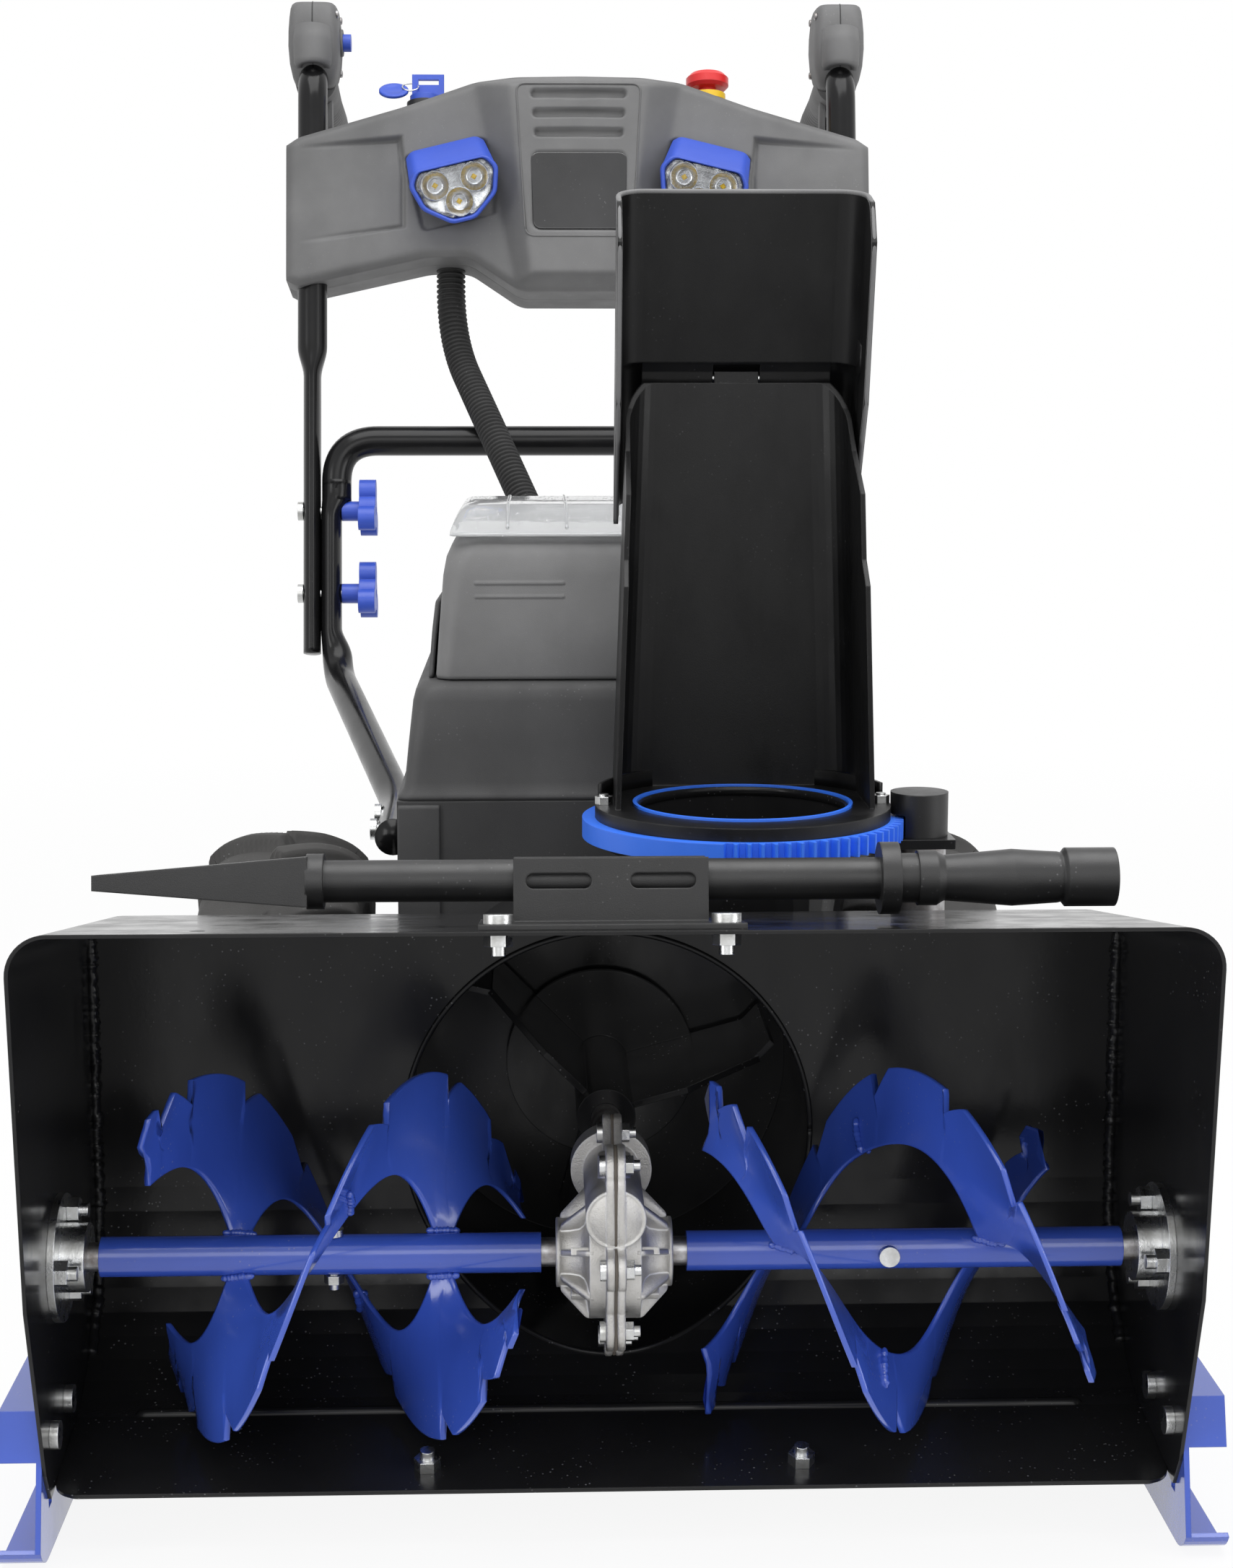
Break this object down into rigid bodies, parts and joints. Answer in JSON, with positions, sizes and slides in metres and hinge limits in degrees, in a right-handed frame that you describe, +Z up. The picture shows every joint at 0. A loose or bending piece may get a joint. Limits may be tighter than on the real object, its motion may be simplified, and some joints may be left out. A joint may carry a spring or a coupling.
{
  "type": "two stage snowblower",
  "caption": "Walk-behind two stage snowblower: intake bucket with ribbon augers, impeller drum, turning chute with deflector, driven wheels, battery hood and handle console.",
  "frame": {"origin": "on the floor under the middle of the machine's box", "axes": "+Z up, +Y from the bucket towards the operator, +X to the right seen from the front"},
  "size_m": [0.66, 1.4, 0.984],
  "materials": {
    "black_paint": "semi-gloss textured black powder coat",
    "blue_paint": "gloss royal blue enamel",
    "blue_plastic": "moulded blue plastic",
    "grey_plastic": "matte charcoal plastic",
    "black_plastic": "matte black plastic",
    "zinc": "bright zinc plate",
    "cast_metal": "cast aluminium",
    "tube_paint": "gloss black paint on tube",
    "steel": "turned steel",
    "bronze": "bronze",
    "rubber": "black rubber",
    "tyre_rubber": "ribbed tyre rubber",
    "clear": "clear moulded plastic",
    "red": "red plastic",
    "yellow": "yellow plastic"
  },
  "bodies": {
    "machine": {"bucket_wrap": "black_paint", "bucket_back": "black_paint", "impeller_drum": "black_paint", "scraper_bar": "black_paint", "housing_bolts": "zinc", "skid_shoes": "blue_paint", "auger_bearings": "zinc", "tool_holder": "black_plastic", "gearbox_left": "cast_metal", "gearbox_right": "cast_metal", "chassis": "black_plastic", "drive_belt": "rubber", "motors": "steel", "hood": "black_plastic", "batteries": "grey_plastic", "lower_frame": "tube_paint", "handle_tubes": "tube_paint", "handle_bolts": "zinc", "console_front": "grey_plastic", "console_rear": "grey_plastic", "clear_covers": "clear", "lamp_housings": "blue_plastic", "estop_collar": "yellow", "key_switch": "black_plastic", "grips": "grey_plastic", "conduit": "rubber", "pinion_cover": "black_plastic"},
    "auger": {"auger_shaft": "steel", "worm_wheel": "bronze", "auger_tubes": "blue_paint", "flights_left": "blue_paint", "flights_right": "blue_paint", "shear_bolts": "zinc"},
    "impeller_set": {"impeller_shaft": "steel", "impeller": "black_paint", "driven_pulley": "steel"},
    "motor_drive": {"motor_pulley": "steel"},
    "wheels": {"axle": "steel", "axle_gear": "steel", "tyres": "tyre_rubber", "wheel_rims": "black_paint"},
    "drive_gear": {"drive_pinion": "steel"},
    "chute_set": {"ring_gear": "blue_plastic", "chute": "black_plastic", "chute_bolts": "zinc"},
    "deflector_set": {"deflector": "black_plastic", "hinge_pin": "zinc"},
    "turning_gear": {"chute_pinion": "black_plastic"},
    "lid_set": {"battery_lid": "black_plastic", "lid_window": "clear"},
    "left_lever": {"lever_left": "black_plastic"},
    "right_lever": {"lever_right": "black_plastic"},
    "lockout": {"lockout_button": "blue_plastic"},
    "switch_key": {"key": "blue_plastic"},
    "stop_button": {"estop_button": "red"},
    "tool": {"cleanout_tool": "black_plastic"},
    "clamp_lt": {"knob_left_top": "blue_plastic"},
    "clamp_ll": {"knob_left_low": "blue_plastic"},
    "clamp_rt": {"knob_right_top": "blue_plastic"},
    "clamp_rl": {"knob_right_low": "blue_plastic"}
  },
  "joints": [
    {"name": "auger_spin", "type": "hinge", "parent": "machine", "child": "auger", "pos_m": [0, -0.598, 0.153], "axis": [1, 0, 0], "continuous": true},
    {"name": "impeller_spin", "type": "hinge", "parent": "machine", "child": "impeller_set", "pos_m": [0, -0.46, 0.185], "axis": [0, 1, 0], "continuous": true},
    {"name": "motor_spin", "type": "hinge", "parent": "machine", "child": "motor_drive", "pos_m": [0, -0.26, 0.285], "axis": [0, 1, 0], "continuous": true},
    {"name": "wheel_spin", "type": "hinge", "parent": "machine", "child": "wheels", "pos_m": [0, -0.238, 0.162], "axis": [1, 0, 0], "continuous": true},
    {"name": "drive_gear_spin", "type": "hinge", "parent": "machine", "child": "drive_gear", "pos_m": [0.08, -0.1922, 0.162], "axis": [1, 0, 0], "continuous": true},
    {"name": "chute_turn", "type": "hinge", "parent": "machine", "child": "chute_set", "pos_m": [0.087, -0.386, 0.354], "axis": [0, 0, 1], "range_deg": [-90, 90]},
    {"name": "turning_gear_spin", "type": "hinge", "parent": "machine", "child": "turning_gear", "pos_m": [0.19771, -0.386, 0.354], "axis": [0, 0, 1], "range_deg": [-720, 720]},
    {"name": "deflector_tilt", "type": "hinge", "parent": "chute_set", "child": "deflector_set", "pos_m": [0.087, -0.308, 0.63], "axis": [1, 0, 0], "range_deg": [0, 50]},
    {"name": "lid_open", "type": "hinge", "parent": "machine", "child": "lid_set", "pos_m": [0, -0.005, 0.438], "axis": [-1, 0, 0], "range_deg": [0, 75]},
    {"name": "left_lever_squeeze", "type": "hinge", "parent": "machine", "child": "left_lever", "pos_m": [-0.2455, 0.53016, 0.87251], "axis": [1, 0, 0], "range_deg": [0, 6], "stiffness_Nm_per_rad": 2},
    {"name": "right_lever_squeeze", "type": "hinge", "parent": "machine", "child": "right_lever", "pos_m": [0.2455, 0.53016, 0.87251], "axis": [1, 0, 0], "range_deg": [0, 6], "stiffness_Nm_per_rad": 2},
    {"name": "lockout_press", "type": "slide", "parent": "machine", "child": "lockout", "axis": [-1, 0, 0], "range_m": [0, 0.005], "stiffness_N_per_m": 200},
    {"name": "key_turn", "type": "hinge", "parent": "machine", "child": "switch_key", "pos_m": [-0.143, 0.50405, 0.88823], "axis": [0, 0.2181, 0.9759], "range_deg": [0, 90]},
    {"name": "stop_press", "type": "slide", "parent": "machine", "child": "stop_button", "axis": [0, -0.2181, -0.9759], "range_m": [0, 0.005], "stiffness_N_per_m": 300},
    {"name": "tool_lift", "type": "slide", "parent": "machine", "child": "tool", "axis": [0, 0.1673, 0.9859], "range_m": [0, 0.08]},
    {"name": "clamp_left_top", "type": "hinge", "parent": "machine", "child": "clamp_lt", "pos_m": [-0.2, 0.38828, 0.51244], "axis": [1, 0, 0], "range_deg": [-180, 180]},
    {"name": "clamp_left_low", "type": "hinge", "parent": "machine", "child": "clamp_ll", "pos_m": [-0.2, 0.37171, 0.43827], "axis": [1, 0, 0], "range_deg": [-180, 180]},
    {"name": "clamp_right_top", "type": "hinge", "parent": "machine", "child": "clamp_rt", "pos_m": [0.2, 0.38828, 0.51244], "axis": [1, 0, 0], "range_deg": [-180, 180]},
    {"name": "clamp_right_low", "type": "hinge", "parent": "machine", "child": "clamp_rl", "pos_m": [0.2, 0.37171, 0.43827], "axis": [1, 0, 0], "range_deg": [-180, 180]}
  ],
  "couplings": [
    {"joint": "impeller_spin", "follows": "auger_spin", "ratio": 20},
    {"joint": "motor_spin", "follows": "auger_spin", "ratio": 55.556},
    {"joint": "drive_gear_spin", "follows": "wheel_spin", "ratio": -3.3333},
    {"joint": "turning_gear_spin", "follows": "chute_turn", "ratio": -7.8}
  ]
}
